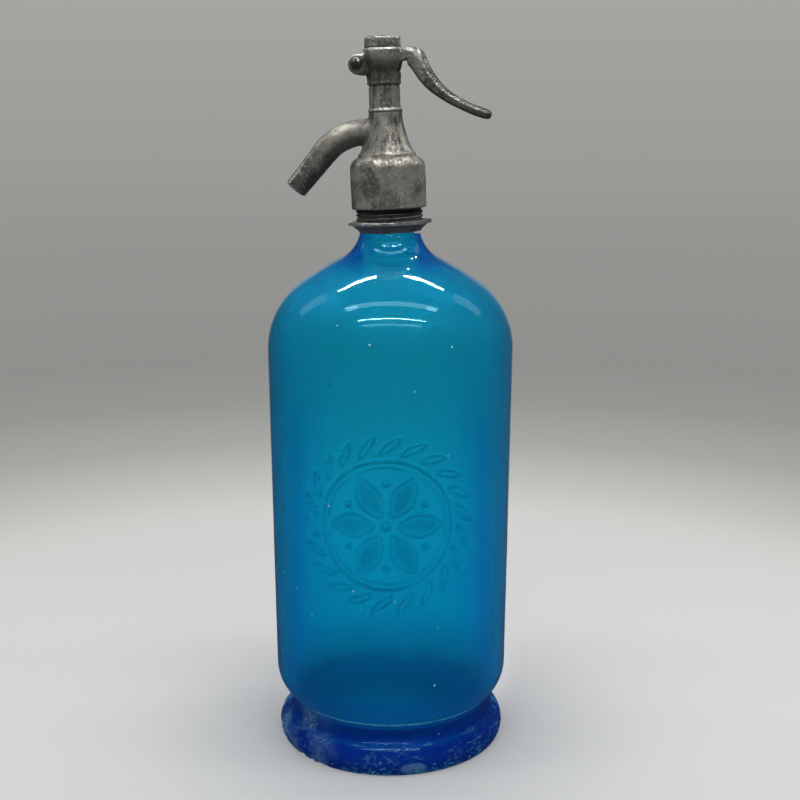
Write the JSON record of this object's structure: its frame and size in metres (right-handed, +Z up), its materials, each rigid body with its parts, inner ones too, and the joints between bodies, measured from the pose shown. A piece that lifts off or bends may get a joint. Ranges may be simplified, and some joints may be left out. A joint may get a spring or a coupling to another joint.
{
  "type": "soda siphon",
  "caption": "Glass soda siphon with a cast metal head: a hinged lever presses a spring-loaded valve stem and soda leaves by the curved spout.",
  "frame": {"origin": "centre of the bottle's base, on the plane it stands on", "axes": "+Z up along the bottle's axis, +X towards the side of the lever, -X towards the spout, and +Y completes a right-handed frame"},
  "size_m": [0.104, 0.104, 0.301],
  "materials": {
    "blue_glass": "thick pressed glass, glossy, with bubbles and a scuffed, chipped foot",
    "clear_glass": "drawn glass tube",
    "grey_alloy": "old tin and lead alloy casting, dull grey, pitted and scratched, worn bright on its edges",
    "steel": "turned, darkened",
    "brass": "turned, dull",
    "black_rubber": "matt",
    "leather": "oiled, pressed"
  },
  "bodies": {
    "bottle_and_head": {"glass_bottle": "blue_glass", "clamp_ring_left": "grey_alloy", "clamp_ring_right": "grey_alloy", "neck_collar": "grey_alloy", "lip_gasket": "leather", "head_body": "grey_alloy", "top_plug": "grey_alloy", "pivot_screw": "steel", "gland_nut": "brass", "gland_washer": "brass", "stem_packing": "leather", "seat_ring": "brass", "valve_spring": "steel", "tube_holder": "brass", "tube_sleeve": "black_rubber", "dip_tube": "clear_glass"},
    "lever": {"lever": "grey_alloy"},
    "valve": {"valve_stem": "brass", "stem_button": "brass", "valve_washer": "black_rubber", "valve_cup": "brass", "valve_nut": "brass"}
  },
  "joints": [
    {"name": "lever_press", "type": "hinge", "parent": "bottle_and_head", "child": "lever", "pos_m": [-0.01294, 0, 0.28994], "axis": [0, 1, 0], "range_deg": [0, 12], "stiffness_Nm_per_rad": 0.156, "springref_deg": -22.46},
    {"name": "valve_slide", "type": "slide", "parent": "bottle_and_head", "child": "valve", "axis": [0.0401, 0, -0.9992], "range_m": [0, 0.0022], "deforming": ["valve_spring"]}
  ],
  "couplings": [
    {"joint": "valve_slide", "follows": "lever_press", "m_per_rad": 0.0102}
  ]
}
